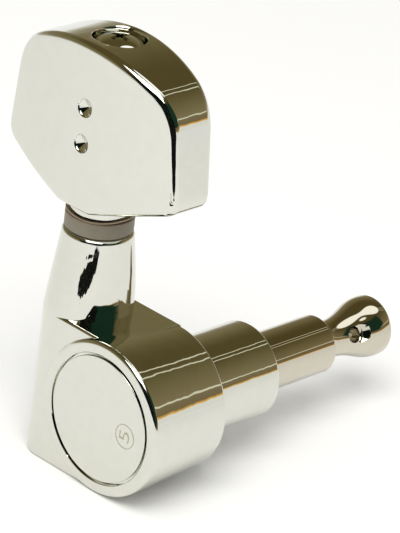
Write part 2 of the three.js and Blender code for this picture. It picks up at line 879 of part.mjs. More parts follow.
// Right half of the outline, from the crown down to the foot
function buttonHalfOutline() {
  const crown = new THREE.Vector2(0, buttonHeight);
  const shoulder = new THREE.Vector2(buttonShoulderHalf, buttonShoulderRise);
  const hip = new THREE.Vector2(buttonHipHalf, buttonHipRise);
  const foot = new THREE.Vector2(buttonFootHalf, 0);
  const drop = buttonHeight - buttonShoulderRise;
  const crownRadius = (buttonShoulderHalf ** 2 + drop ** 2) / (2 * drop);
  const crownTurn = Math.asin(Math.min(1, buttonShoulderHalf / crownRadius));
  const towards = (from, to, distance) => to.clone().sub(from).setLength(distance).add(from);
  const curved = (start, corner, end, steps) => {
    return new THREE.QuadraticBezierCurve(start, corner, end).getPoints(steps);
  };
  const arcEnd = crownTurn - buttonShoulderRound / crownRadius;
  const arc = [];
  const arcSteps = 8;
  for (let i = 0; i < arcSteps; i += 1) {
    const turn = arcEnd * (i / arcSteps);
    arc.push(new THREE.Vector2(
      crownRadius * Math.sin(turn), crown.y - crownRadius * (1 - Math.cos(turn))));
  }
  const roundStart = new THREE.Vector2(
    crownRadius * Math.sin(arcEnd), crown.y - crownRadius * (1 - Math.cos(arcEnd)));
  const hipEnd = towards(hip, foot, buttonHipRound);
  const slope = [];
  const slopeSteps = 5;
  for (let i = 1; i <= slopeSteps; i += 1) slope.push(hipEnd.clone().lerp(foot, i / slopeSteps));
  return [
    ...arc,
    ...curved(roundStart, shoulder, towards(shoulder, hip, buttonShoulderRound), 6),
    ...curved(towards(hip, shoulder, buttonHipRound), hip, hipEnd, 4),
    ...slope,
  ];
}

function buttonOutline() {
  const right = buttonHalfOutline();
  const left = right.slice(1).reverse().map((p) => new THREE.Vector2(-p.x, p.y));
  return [...left, ...right, new THREE.Vector2(0, 0)].reverse();
}

// Both faces are full in the middle and fall away towards the sides
function buttonBlank() {
  const outline = buttonOutline();
  const sections = [];
  const steps = 4;
  const add = (round, reach, bulge, side) => (i) => {
    const turn = (Math.PI / 2) * (i / steps);
    const shrunk = inset(outline, round * (1 - Math.sin(turn)));
    const depth = reach - round * (1 - Math.cos(turn));
    sections.push(shrunk.map((p) => {
      const fall = bulge * (p.x / buttonHipHalf) ** 2;
      return new THREE.Vector3(p.x, p.y, side * (depth - fall));
    }));
  };
  const order = Array.from({ length: steps + 1 }, (_, i) => i);
  order.forEach(add(buttonBackRound, buttonBackReach, buttonBackBulge, -1));
  order.reverse().forEach(add(buttonFrontRound, buttonFrontReach, buttonFrontBulge, 1));
  return loft(sections).translate(0, buttonFoot, 0);
}

function buttonDimple(rise) {
  return revolve([
    [0, -dimpleDepth],
    [dimpleRadius * dimpleWallShare, -dimpleDepth / 2],
    [dimpleRadius, 0],
    [dimpleRadius, overrun],
    [0, overrun],
  ], sidesTiny).rotateX(Math.PI / 2).translate(0, buttonFoot + rise, buttonFrontReach);
}

function button() {
  const neck = disc(buttonNeckRadius, neckFoot, buttonFoot + buttonNeckHeight, sidesRound);
  const socket = doubleFlat(
    shaftRadius + seatGap, shaftFlatHalf + seatGap, neckFoot - overrun, socketTop);
  const screwHole = disc(buttonScrewRadius + wormBoreGap, neckFoot, buttonCrown, sidesSmall);
  const counterbore = revolve([
    [0, counterboreFloor],
    [counterboreRadius, counterboreFloor],
    [counterboreRadius, buttonCrown - counterboreEdge],
    [counterboreRadius + counterboreEdge, buttonCrown],
    [counterboreRadius + counterboreEdge, buttonCrown + overrun],
    [0, buttonCrown + overrun],
  ], sidesRound);
  const dimples = [dimpleLowerRise, dimpleUpperRise].map(buttonDimple);
  return cutBy(joined(buttonBlank(), neck), socket, screwHole, counterbore, ...dimples);
}

function screwWasher() {
  return ring(buttonScrewRadius + wormBoreGap, screwWasherRadius, screwWasherFoot, screwWasherTop,
    sidesSmall);
}

function buttonScrew() {
  const body = revolve([
    [0, buttonScrewHeadFoot - buttonScrewReach],
    [buttonScrewRadius, buttonScrewHeadFoot - buttonScrewReach],
    [buttonScrewRadius, buttonScrewHeadFoot],
    [buttonScrewHeadRadius, buttonScrewHeadFoot],
    [buttonScrewHeadRadius, buttonScrewHeadTop - buttonScrewHeadEdge],
    [buttonScrewHeadRadius - buttonScrewHeadEdge, buttonScrewHeadTop],
    [0, buttonScrewHeadTop],
  ], sidesSmall);
  const [wide, long] = [buttonScrewCrossWidth / 2, buttonScrewCrossLength / 2];
  const floor = buttonScrewHeadTop - buttonScrewCrossDepth;
  const high = buttonScrewHeadTop + overrun;
  return cutBy(body, block(-wide, wide, floor, high, -long, long),
    block(-long, long, floor, high, -wide, wide));
}

// Assembly

const group = new THREE.Group();

const fixed = new THREE.Group();
fixed.add(piece('housing', housing(), chrome()));
fixed.add(piece('cover_plate', coverPlate(), chrome()));
['locating_pin_upper', 'locating_pin_lower'].forEach((name, index) => {
  const pin = piece(name, locatingPin(), steel());
  pin.position.copy(pinPlace(index));
  fixed.add(pin);
});
fixed.add(piece('post_bush', postBush(), bronze()));
fixed.add(piece('post_thrust_washer', postThrustWasher(), steel()));
group.add(fixed);

const turningPost = new THREE.Group();
turningPost.add(piece('string_post', stringPost(), chrome()));
turningPost.add(piece('worm_wheel', wormWheel(), brass()));
turningPost.add(piece('wheel_washer', wheelWasher(), steel()));
turningPost.add(piece('wheel_lock_washer', lockWasher(), steel()));
turningPost.add(piece('wheel_screw', wheelScrew(), steel()));
group.add(turningPost);

const onWormAxis = new THREE.Group();
onWormAxis.position.set(-axisDistance, wormDepth, 0);
onWormAxis.rotation.x = Math.PI / 2;
onWormAxis.add(piece('worm_lower_bush', wormLowerBush(), bronze()));
onWormAxis.add(piece('worm_sleeve', wormSleeve(), bronze()));
onWormAxis.add(piece('arm_washer', armWasher(), nylon(0x8a857a)));

const turningWorm = new THREE.Group();
turningWorm.add(piece('worm_shaft', wormShaft(), steel()));
turningWorm.add(piece('worm_thrust_washer', shaftWasher(), steel()));
turningWorm.add(piece('wave_washer', waveWasher(), bronze()));
turningWorm.add(piece('button', button(), chrome()));
turningWorm.add(piece('button_screw_washer', screwWasher(), steel()));
turningWorm.add(piece('button_screw', buttonScrew(), chrome()));
onWormAxis.add(turningWorm);
group.add(onWormAxis);

export default group;
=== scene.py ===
import json
from math import asin, cos, pi, radians, sin

import bpy
from mathutils import Matrix, Vector

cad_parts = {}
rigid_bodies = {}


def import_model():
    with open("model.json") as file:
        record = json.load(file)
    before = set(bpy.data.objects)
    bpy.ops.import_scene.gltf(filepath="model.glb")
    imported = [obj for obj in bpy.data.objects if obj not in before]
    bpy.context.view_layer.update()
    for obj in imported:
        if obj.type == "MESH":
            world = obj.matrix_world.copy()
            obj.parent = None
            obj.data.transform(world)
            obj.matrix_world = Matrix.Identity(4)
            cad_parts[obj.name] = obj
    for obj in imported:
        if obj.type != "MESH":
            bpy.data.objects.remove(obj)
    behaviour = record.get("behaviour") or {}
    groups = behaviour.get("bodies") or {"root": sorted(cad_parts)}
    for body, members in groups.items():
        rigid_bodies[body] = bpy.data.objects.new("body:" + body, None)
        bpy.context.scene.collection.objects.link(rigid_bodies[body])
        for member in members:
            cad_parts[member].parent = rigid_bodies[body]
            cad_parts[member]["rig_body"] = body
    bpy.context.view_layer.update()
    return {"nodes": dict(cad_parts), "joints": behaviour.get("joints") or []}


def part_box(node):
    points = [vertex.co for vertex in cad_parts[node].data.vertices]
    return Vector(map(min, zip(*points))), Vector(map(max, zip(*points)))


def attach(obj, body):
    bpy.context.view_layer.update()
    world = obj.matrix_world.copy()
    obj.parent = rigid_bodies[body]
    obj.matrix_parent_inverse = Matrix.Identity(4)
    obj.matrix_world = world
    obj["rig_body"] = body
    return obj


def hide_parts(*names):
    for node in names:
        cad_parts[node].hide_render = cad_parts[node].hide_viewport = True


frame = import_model()

MM = 0.001
HAIR = 0.001 * MM
MERGED_BELOW = 0.0005 * MM

# How far a cutter reaches past what it cuts
OVERCUT = 1.0 * MM

# Sides of large and small round pieces, and steps along their rounded edges

FINE = 224
SMALL = 96
ARC_STEPS = 8
EDGE_STEPS = 4
CASE_FRONT_STEPS = 6
SHOULDER_STEPS = 5
FLARE_STEPS = 24
HOLE_STEPS = 10
CROWN_STEPS = 40
SHOULDER_ROUND_STEPS = 20
HIP_ROUND_STEPS = 14
BUTTON_FRONT_STEPS = 12
BUTTON_BACK_STEPS = 10
DOME_STEPS = 12

# Edges sharper than these angles in degrees stay sharp, and large faces lead the shading of the rest

SHARP_ANGLE = 28
POST_SHARP_ANGLE = 35
BUTTON_SHARP_ANGLE = 30
NORMAL_WEIGHT = 80

# Camera

CAMERA_AZIMUTH = 42.216
CAMERA_ELEVATION = 24.983
CAMERA_ROLL = 7.153
CAMERA_DISTANCE = 369.0 * MM
CAMERA_LENS = 252.6
SENSOR_LONG_SIDE = 36.0
CLIP_NEAR = 0.01
CLIP_FAR = 20.0
VIEW_RIGHT = 2.648 * MM
VIEW_UP = 12.485 * MM

# Case

CASE_SIDE_DRAFT = 0.5 * MM
RIM_ROUND = 0.5 * MM
CASE_FRONT_EDGE = 0.3 * MM
FACET_DROP = 0.34 * MM
CHAMBER_RADIUS = 6.32 * MM
CHAMBER_FLOOR = -1.79 * MM
OPENING_RADIUS = 6.69 * MM
OPENING_DEPTH = 1.14 * MM
OPENING_EDGE = 0.06 * MM
COLLAR_RADIUS = 5.0 * MM
COLLAR_BORE = 4.09 * MM
COLLAR_EDGE = 0.3 * MM
BLOCK_EDGE = 0.3 * MM
BLOCK_STAND_TOP = 0.85 * MM
BLOCK_STAND_FOOT = 0.3 * MM
BLOCK_DRAFT = 0.48 * MM

# Cover

COVER_RADIUS = 6.65 * MM
COVER_FACE_RADIUS = 6.43 * MM
COVER_GROOVE_DEPTH = 0.5 * MM
COVER_EDGE = 0.08 * MM
MARK_NUMBER = "5"
MARK_PLACE = (3.75 * MM, -0.2 * MM)
MARK_RADIUS = 1.27 * MM
MARK_TURN = 90
MARK_LINE = 0.085 * MM
MARK_HEIGHT = 0.012 * MM
MARK_SIZE = 2.0 * MM
MARK_WIDTH = 1.5

# Arm

ARM_SHOULDER_RADIUS = 3.62 * MM
ARM_END_ROUND = 0.5 * MM
ARM_HEIGHT_SHARES = (0.0, 0.12, 0.3, 0.55, 0.8)
ARM_TAPER_SHARES = (0.0, 0.13, 0.31, 0.56, 0.8)
WORM_BORE = 3.02 * MM
WORM_BORE_FLOOR = -5.84 * MM

# Post

POST_RADIUS = 3.05 * MM
SHOULDER_PLACE = 20.45 * MM
SHOULDER_EDGE = 0.3 * MM
WAIST_RADIUS = 1.95 * MM
WAIST_LENGTH = 1.5 * MM
FLARE_LENGTH = 5.9 * MM
HEAD_BAND = 0.45 * MM
HEAD_EDGE = 0.55 * MM
HOLE_PLACE = 24.2 * MM
HOLE_RADIUS = 0.8 * MM
HOLE_RIM = 0.3 * MM
HOLE_TURN = 22.0
HOLE_MOUTH_PLACE = WAIST_RADIUS + 0.25 * MM
HOLE_CUTTER_FLARE = 0.6 * MM
HOLE_CUTTER_RISE = 0.5 * MM
HOLE_CUTTER_END = 0.7 * MM
DRIVE_RADIUS = 2.55 * MM
DRIVE_FLAT_HALF = 1.9 * MM
TAP_RADIUS = 1.25 * MM
TAP_DEPTH = 4.96 * MM

# Button

BUTTON_NECK_RADIUS = 3.15 * MM
BUTTON_NECK_HEIGHT = 0.83 * MM
BUTTON_FOOT_HALF = 2.12 * MM
BUTTON_HIP_HALF = 11.98 * MM
BUTTON_HIP_RISE = 3.3 * MM
BUTTON_SHOULDER_HALF = 10.69 * MM
BUTTON_SHOULDER_RISE = 13.58 * MM
BUTTON_HIP_ROUND = 1.6 * MM
BUTTON_SHOULDER_ROUND = 2.8 * MM
BUTTON_FRONT_BULGE = 2.19 * MM
BUTTON_FRONT_ROUND = 0.72 * MM
BUTTON_BACK_BULGE = 0.95 * MM
BUTTON_BACK_ROUND = 0.84 * MM
BUTTON_FACE_STRIP = 0.4 * MM
SOCKET_RADIUS = 1.94 * MM
SOCKET_GAP = 0.04 * MM
SHANK_HOLE_RADIUS = 1.05 * MM
COUNTERBORE_RADIUS = 2.6 * MM
COUNTERBORE_DEPTH = 2.65 * MM
COUNTERBORE_EDGE = 0.42 * MM
DIMPLE_RADIUS = 0.86 * MM
DIMPLE_DEPTH = 0.62 * MM
DIMPLE_EDGE = 0.14 * MM
DIMPLE_ASIDE = 0.5 * MM
DIMPLE_RISES = (7.05 * MM, 10.75 * MM)

# Button screw

SCREW_HEAD_RADIUS = 2.5 * MM
SCREW_HEAD_HEIGHT = 1.35 * MM
SCREW_HEAD_DOME = 1.1 * MM
SCREW_HEAD_STAND = 0.9 * MM
SCREW_SHANK_RADIUS = 0.95 * MM
SCREW_CROSS_WIDTH = 0.55 * MM
SCREW_CROSS_LENGTH = 2.1 * MM
SCREW_CROSS_DEPTH = 0.55 * MM

# Washer on the arm

ARM_WASHER_BORE = 2.0 * MM
ARM_WASHER_EDGE = 0.15 * MM

# Finishes: colours, patterns as repeats in a metre, and how rough and how deep they are

CHROME_DULL = (0.65, 0.655, 0.59)
CHROME_BRIGHT = (0.70, 0.70, 0.645)
NICKEL_DULL = (0.565, 0.53, 0.435)
NICKEL_BRIGHT = (0.61, 0.575, 0.485)
PLATE_WAVES = 330.0
PLATE_WAVE_DEPTH = 0.012 * MM
PLATE_HAZE = 900.0
PLATE_HAIRLINES = (9000.0, 700.0, 9000.0)
PLATE_ROUGHNESS = 0.018
CASE_RIPPLE = 7.0
SCREW_RIPPLE = 1.6
POST_RIPPLE = 1.0
RING_WOBBLE = 1200.0
RING_DEPTH = 0.004 * MM
STAIN = 420.0
NYLON_DARK = (0.17, 0.152, 0.108)
NYLON_LIGHT = (0.205, 0.184, 0.132)
NYLON_EDGE = (0.22, 0.17, 0.115)
NYLON_EDGE_FROM = 0.35 * MM
NYLON_EDGE_TO = 0.05 * MM
NYLON_CLOUD = 700.0
NYLON_GRAIN = 9000.0
NYLON_GRAIN_DEPTH = 0.01 * MM
NYLON_ROUGHNESS = 0.38
ETCHED_DARK = (0.43, 0.41, 0.29)
ETCHED_LIGHT = (0.54, 0.52, 0.38)
ETCHED_GRAIN = 14000.0
ETCHED_GRAIN_DEPTH = 0.004 * MM
ETCHED_ROUGHNESS = 0.42

# Turned metals: dark colour, light colour, roughness, axis across which the tool rings run, and pitch

TURNED_METALS = {
    "turned_steel": ((0.42, 0.41, 0.39), (0.60, 0.59, 0.57), 0.16, "Y", 0.11 * MM),
    "ground_steel": ((0.42, 0.41, 0.39), (0.60, 0.59, 0.57), 0.16, "Z", 0.11 * MM),
    "spring_bronze": ((0.26, 0.21, 0.145), (0.36, 0.29, 0.20), 0.45, "Z", 0.14 * MM),
    "bearing_bronze": ((0.36, 0.20, 0.085), (0.56, 0.36, 0.17), 0.22, "Z", 0.14 * MM),
    "cut_brass": ((0.50, 0.34, 0.12), (0.72, 0.54, 0.24), 0.18, "Y", 0.13 * MM),
}

# Pieces that keep the meshes of their CAD nodes, with the metal of each

INNER_PIECES = {
    "locating_pin_upper": "turned_steel",
    "locating_pin_lower": "turned_steel",
    "post_bush": "bearing_bronze",
    "post_thrust_washer": "turned_steel",
    "worm_lower_bush": "bearing_bronze",
    "worm_sleeve": "bearing_bronze",
    "worm_wheel": "cut_brass",
    "wheel_washer": "turned_steel",
    "wheel_lock_washer": "turned_steel",
    "wheel_screw": "turned_steel",
    "worm_shaft": "ground_steel",
    "worm_thrust_washer": "ground_steel",
    "wave_washer": "spring_bronze",
    "button_screw_washer": "ground_steel",
}

# Table and lamp

TABLE_SIZE = 3.0
TABLE_NEAR = 110 * MM
TABLE_FAR = 240 * MM
TABLE_DARK = (0.955, 0.955, 0.945)
TABLE_LIGHT = (0.97, 0.97, 0.96)
TABLE_CLOUD = 9.0
TABLE_ROUGHNESS = 0.55
TABLE_SPECULAR = 0.2
LAMP_PLACE = (0.18, -0.27, 0.60)
LAMP_SIZE = (0.50, 0.44)
LAMP_WATTS = 3.4
LAMP_COLOR = (1.0, 0.99, 0.97)

# Dark cards beside the object: place of the middle, width and height, azimuth, and how ragged

CARD_SIDES = 64
CARD_SEED = 7
CARD_DARK = (0.008, 0.010, 0.009)
CARD_LIGHT = (0.016, 0.017, 0.014)
CARD_CLOUD = 60.0
CARD_ROUGHNESS = 0.9
DARK_CARDS = {
    "side_card": ((31 * MM, -36 * MM, 30 * MM), (50 * MM, 40 * MM), CAMERA_AZIMUTH, 0),
    "low_card": ((17.8 * MM, -40.2 * MM, 4.9 * MM), (32 * MM, 3.6 * MM), 37, 0.6 * MM),
    "upper_low_card": ((18.5 * MM, -39.5 * MM, 8.9 * MM), (15 * MM, 1.1 * MM), 39, 0.25 * MM),
}

# The room that polished metal sees. Places in it are parts of a direction of length 1, and a pair of
# numbers is where a soft edge starts and ends. The room leans by the angle at which the machine leans
# in the photograph, where it rests on the front edge of its foot and on the head of its post

ROOM_LEAN = radians(9.9)
SOFT_LEVEL = (0.63, 0.63, 0.625)
WHITE = (1.0, 1.0, 1.0)
WALL_STOPS = (
    (0.0, (0.96, 0.96, 0.90)),
    (0.480, (0.96, 0.96, 0.90)),
    (0.486, (0.92, 0.50, 0.07)),
    (0.497, (0.74, 0.43, 0.12)),
    (0.504, (0.24, 0.18, 0.09)),
    (0.560, (0.25, 0.20, 0.11)),
    (0.60, (0.27, 0.22, 0.115)),
    (0.70, (0.205, 0.17, 0.078)),
    (0.80, (0.125, 0.098, 0.036)),
    (0.84, (0.11, 0.085, 0.030)),
)
HAZE_STOPS = (
    (0.0, (0.92, 0.92, 0.84)),
    (0.03, (0.66, 0.64, 0.54)),
    (0.10, (0.38, 0.34, 0.25)),
    (0.22, (0.26, 0.215, 0.125)),
    (0.45, (0.205, 0.17, 0.078)),
    (0.70, (0.11, 0.085, 0.030)),
)
HAZE_TO_WALL = (0.05, 0.35)
TUBE_PLACES = (0.10, 0.21)
TUBE_HALF = (0.006, 0.016)
TUBE_BEHIND = (0.3, 0.4)
TUBE_ABOVE = (0.4, 0.5)
LEDGE_HEIGHT = 0.155
LEDGE_HALF = (0.008, 0.022)
LEDGE_WAVES = 14.0
LEDGE_WAVER = 0.035
LEDGE_RIGHT = (0.2, 0.5)
LEDGE_BEHIND = (0.0, 0.3)
LIGHT_COLOR = (0.86, 0.83, 0.62)
CEILING_LIGHTS = ((0.12, 0.36, 0.30), (0.43, -0.05, 0.17))
CEILING_CORE = 0.85
CEILING_ABOVE = (0.4, 0.5)
CEILING_COLOR = (1.5, 1.5, 1.45)

# Dark screens in the room: soft edges from left to right, in height and in front, and the colour

DARK_SCREENS = (
    (((0.20, 0.32), (0.92, 0.98)), ((0.06, 0.12), (0.68, 0.76)), (0.0, 0.12), (0.014, 0.042, 0.026)),
    (((-0.80, -0.70), (0.30, 0.42)), ((-0.03, 0.0), (0.66, 0.74)), (0.2, 0.3), (0.004, 0.008, 0.007)),
)

# Places read from the frame

housing_low, housing_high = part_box("housing")
post_low, post_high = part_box("string_post")
button_low, button_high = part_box("button")
screw_low, screw_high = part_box("button_screw")
CASE_BACK = housing_low[1]
CASE_BACK_RADIUS = housing_high[0]
CASE_FOOT = housing_low[2]
BLOCK_LEFT = housing_low[0]
COLLAR_END = housing_high[1]
ARM_TOP = housing_high[2]
POST_HEAD_RADIUS = post_high[0]
FACET_HEIGHT = CASE_BACK_RADIUS - FACET_DROP
worm_joint = next(joint for joint in frame["joints"] if joint["name"] == "button_turn")
WORM_X, WORM_Y = worm_joint["pos_m"][:2]
ARM_BASE_ACROSS = WORM_X - BLOCK_LEFT
ARM_BASE_DEEP = WORM_Y - CASE_BACK - BLOCK_STAND_TOP


# Modelling


def only(piece):
    """Selects one piece and nothing else."""
    bpy.ops.object.select_all(action="DESELECT")
    piece.select_set(True)
    bpy.context.view_layer.objects.active = piece


def edit(piece):
    only(piece)
    bpy.ops.object.mode_set(mode="EDIT")
    bpy.ops.mesh.select_mode(type="VERT")
    bpy.ops.mesh.select_all(action="SELECT")


def leave_edit():
    bpy.ops.object.mode_set(mode="OBJECT")


def face_outwards():
    """Turns all faces of the piece in edit mode outwards and leaves edit mode."""
    bpy.ops.mesh.select_all(action="SELECT")
    bpy.ops.mesh.normals_make_consistent(inside=False)
    leave_edit()


def added(name, primitive, **settings):
    """Adds a primitive while nothing else is selected."""
    bpy.ops.object.select_all(action="DESELECT")
    primitive(**settings)
    piece = bpy.context.object
    piece.name = name
    return piece


def settled(piece):
    """Writes the place and turn of a piece into its mesh."""
    only(piece)
    bpy.ops.object.transform_apply(location=True, rotation=True, scale=True)
    return piece


def risen(name, stations, sides=FINE):
    """A piece drawn up along Z, from stations of half width in X, half width in Y and height."""
    across, deep, height = stations[0]
    circle = {"vertices": sides, "radius": across, "fill_type": "NGON"}
    piece = added(name, bpy.ops.mesh.primitive_circle_add, **circle)
    edit(piece)
    bpy.ops.transform.resize(value=(1, deep / across, 1))
    bpy.ops.transform.translate(value=(0, 0, height))
    for next_across, next_deep, next_height in stations[1:]:
        move = {"value": (0, 0, next_height - height)}
        bpy.ops.mesh.extrude_region_move(TRANSFORM_OT_translate=move)
        scale = (next_across / across, next_deep / deep, 1)
        if scale != (1, 1, 1):
            bpy.ops.transform.resize(value=scale, center_override=(0, 0, next_height))
        across, deep, height = next_across, next_deep, next_height
    face_outwards()
    return piece


def turned(name, stations, sides=FINE):
    """A piece turned about Z, from stations of radius and height."""
    return risen(name, [(radius, radius, height) for radius, height in stations], sides)


def along_post(piece):
    """Lays a turned piece from Z along the post."""
    piece.rotation_euler = (-pi / 2, 0, 0)
    return settled(piece)


def on_worm_axis(piece):
    piece.location = (WORM_X, WORM_Y, 0)
    return settled(piece)


def traced(name, outline, height):
    """A flat face at one height, drawn point by point round its outline."""
    piece = added(name, bpy.ops.mesh.primitive_plane_add, size=MM)
    edit(piece)
    bpy.ops.mesh.merge(type="CENTER")
    here = Vector((*outline[0], height))
    bpy.ops.transform.translate(value=here)
    for point in outline[1:]:
        there = Vector((*point, height))
        bpy.ops.mesh.extrude_region_move(TRANSFORM_OT_translate={"value": there - here})
        here = there
    bpy.ops.mesh.select_all(action="SELECT")
    bpy.ops.mesh.edge_face_add()
    leave_edit()
    return piece


def slab(name, outline, low, high):
    """An upright slab of an outline in X and Y, between two heights."""
    piece = traced(name, outline, low)
    edit(piece)
    bpy.ops.mesh.extrude_region_move(TRANSFORM_OT_translate={"value": (0, 0, high - low)})
    face_outwards()
    return piece


def edit_where(piece, chosen):
    """Opens a piece in edit mode with the corners selected whose place is chosen."""
    only(piece)
    mesh = piece.data
    for part in (*mesh.polygons, *mesh.edges):
        part.select = False
    for vertex in mesh.vertices:
        vertex.select = chosen(vertex.co)
    bpy.ops.object.mode_set(mode="EDIT")
    bpy.ops.mesh.select_mode(type="VERT")


def bevel_level(piece, height, width, steps):
    """Rounds the edges that lie level at one height."""
    edit_where(piece, lambda place: abs(place.z - height) < HAIR)
    bpy.ops.mesh.select_mode(type="EDGE")
    bpy.ops.mesh.bevel(offset=width, segments=steps, profile=0.5, affect="EDGES", clamp_overlap=False)
    leave_edit()


def combine(piece, other, operation):
    """Joins another piece to one, or cuts it out."""
    only(piece)
    modifier = piece.modifiers.new("Combine", "BOOLEAN")
    modifier.operation = operation
    modifier.solver = "EXACT"
    modifier.object = other
    bpy.ops.object.modifier_apply(modifier=modifier.name)
    bpy.data.objects.remove(other)


def bored(piece, name, stations, laid, sides=FINE):
    """Cuts a turned form out of a piece, laid along the post or on the worm's axis."""
    combine(piece, laid(turned(name, stations, sides)), "DIFFERENCE")


def quarter(radius, height, round_radius, upwards, steps=ARC_STEPS):
    """Stations of a rounded edge from the wall to the end face."""
    turns = [pi / 2 * i / steps for i in range(steps + 1)]
    return [
        (radius - round_radius * (1 - cos(turn)), height - upwards * round_radius * (1 - sin(turn)))
        for turn in turns
    ]


def mouth(radius, height, round_radius, steps=ARC_STEPS):
    """Stations of a hole's rounded mouth from its wall to the face that it opens in."""
    turns = [pi / 2 * i / steps for i in range(steps + 1)]
    return [
        (radius + round_radius * (1 - cos(turn)), height - round_radius * (1 - sin(turn)))
        for turn in turns
    ]


def smoothed(piece, angle=SHARP_ANGLE):
    """Merges doubles and shades round walls smooth and edges sharp."""
    edit(piece)
    bpy.ops.mesh.remove_doubles(threshold=MERGED_BELOW)
    leave_edit()
    bpy.ops.object.shade_smooth_by_angle(angle=radians(angle))
    modifier = piece.modifiers.new("Weighted", "WEIGHTED_NORMAL")
    modifier.keep_sharp = True
    modifier.weight = NORMAL_WEIGHT
    bpy.ops.object.modifier_apply(modifier=modifier.name)
    return piece


def coated(piece, material):
    """Gives a piece one material all over."""
    piece.data.materials.clear()
    piece.data.materials.append(material)


def fitted(piece, node, material):
    """Puts a finished piece in the place of its CAD node."""
    coated(piece, material)
    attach(piece, frame["nodes"][node]["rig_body"])
    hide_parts(node)


# Shader maths


class Wire:
    """A socket that the plain signs of arithmetic work on."""

    def __init__(self, tree, socket):
        self.tree = tree
        self.socket = socket

    def math(self, operation, *others):
        values = dict(enumerate((self, *others)))
        return self.tree.node("ShaderNodeMath", {"operation": operation}, values)

    def __add__(self, other):
        return self.math("ADD", other)

    __radd__ = __add__

    def __mul__(self, other):
        return self.math("MULTIPLY", other)

    __rmul__ = __mul__

    def __sub__(self, other):
        return self.math("SUBTRACT", other)

    def __rsub__(self, other):
        return (self * -1) + other

    def clamped(self):
        return self.math("MINIMUM", 1).math("MAXIMUM", 0)

    def step(self, low, high):
        """Goes smoothly from 0 at low to 1 at high."""
        settings = {"interpolation_type": "SMOOTHSTEP"}
        return self.tree.node("ShaderNodeMapRange", settings, {
            "Value": self, "From Min": low, "From Max": high,
        })

    def between(self, rise, fall):
        """Is 1 between two soft edges, each of which has a low and a high end."""
        return self.step(*rise) * (1 - self.step(*fall))


class Tree:
    """A material's or the world's nodes."""

    def __init__(self, owner):
        owner.use_nodes = True
        self.nodes = owner.node_tree.nodes
        self.links = owner.node_tree.links
        self.nodes.clear()

    def node(self, kind, settings=None, values=None, output=0):
        """Adds a node and gives one of its outputs, by number or name, or all of them."""
        node = self.nodes.new(kind)
        for name, value in (settings or {}).items():
            if name == "stops":
                self.stops(node.color_ramp, value)
            else:
                setattr(node, name, value)
        for name, value in (values or {}).items():
            if isinstance(value, Wire):
                self.links.new(value.socket, node.inputs[name])
            else:
                node.inputs[name].default_value = value
        if output == "all":
            return [Wire(self, socket) for socket in node.outputs]
        return Wire(self, node.outputs[output]) if node.outputs else None

    def stops(self, ramp, stops):
        while len(ramp.elements) < len(stops):
            ramp.elements.new(0.5)
        for element, (place, color) in zip(ramp.elements, stops):
            element.position = place
            element.color = (*color, 1)

    def place(self):
        return self.node("ShaderNodeTexCoord", output="Object")

    def split(self, vector):
        return self.node("ShaderNodeSeparateXYZ", {}, {0: vector}, output="all")

    def noise(self, vector, scale, detail=2.0):
        return self.node("ShaderNodeTexNoise", {}, {"Vector": vector, "Scale": scale, "Detail": detail})

    def mix(self, factor, first, second):
        """Mixes two colours, which are the node's seventh and eighth inputs and its third output."""
        values = {0: factor, 6: first, 7: second}
        return self.node("ShaderNodeMix", {"data_type": "RGBA"}, values, output=2)

    def ramp(self, factor, stops):
        return self.node("ShaderNodeValToRGB", {"stops": stops}, {"Fac": factor})

    def bump(self, height, distance, strength):
        values = {"Height": height, "Distance": distance, "Strength": strength}
        return self.node("ShaderNodeBump", {}, values)

    def stretched(self, vector, scale):
        return self.node("ShaderNodeMapping", {}, {"Vector": vector, "Scale": scale})


def rgb(red, green, blue):
    return (red, green, blue, 1)


def finish(material, tree, color, roughness, metallic, normal=None, extra=None):
    values = {"Base Color": color, "Roughness": roughness, "Metallic": metallic}
    if normal:
        values["Normal"] = normal
    values.update(extra or {})
    shader = tree.node("ShaderNodeBsdfPrincipled", {}, values)
    tree.node("ShaderNodeOutputMaterial", {}, {"Surface": shader})
    return material


def material_tree(name):
    material = bpy.data.materials.new(name)
    return material, Tree(material)


def polished_plate(name, ripple, dull=CHROME_DULL, bright=CHROME_BRIGHT):
    """Bright plate: slow ripples from hand polishing, faint hairlines and a breath of haze."""
    material, tree = material_tree(name)
    place = tree.place()
    waves = tree.noise(place, PLATE_WAVES)
    haze = tree.noise(place, PLATE_HAZE, 3.0)
    hairlines = tree.noise(tree.stretched(place, PLATE_HAIRLINES), 1.0)
    color = tree.mix(haze, rgb(*dull), rgb(*bright))
    roughness = PLATE_ROUGHNESS + haze.step(0.45, 0.8) * 0.03 + hairlines.step(0.62, 0.9) * 0.03
    normal = tree.bump(waves, PLATE_WAVE_DEPTH * ripple, 0.35)
    return finish(material, tree, color, roughness, 1.0, normal)


def turned_metal(name, dark, light, rough, ring_axis, pitch):
    """Turned metal with fine tool rings across one axis."""
    material, tree = material_tree(name)
    place = tree.place()
    along = tree.split(place)["XYZ".index(ring_axis)]
    wobble = tree.noise(place, RING_WOBBLE)
    rings = (along * (2 * pi / pitch) + wobble * 2.0).math("SINE")
    stain = tree.noise(place, STAIN, 4.0)
    color = tree.mix(stain.step(0.3, 0.75), rgb(*dark), rgb(*light))
    roughness = rough + stain * 0.12 + rings * 0.03
    normal = tree.bump(rings, RING_DEPTH, 0.4)
    return finish(material, tree, color, roughness, 1.0, normal)


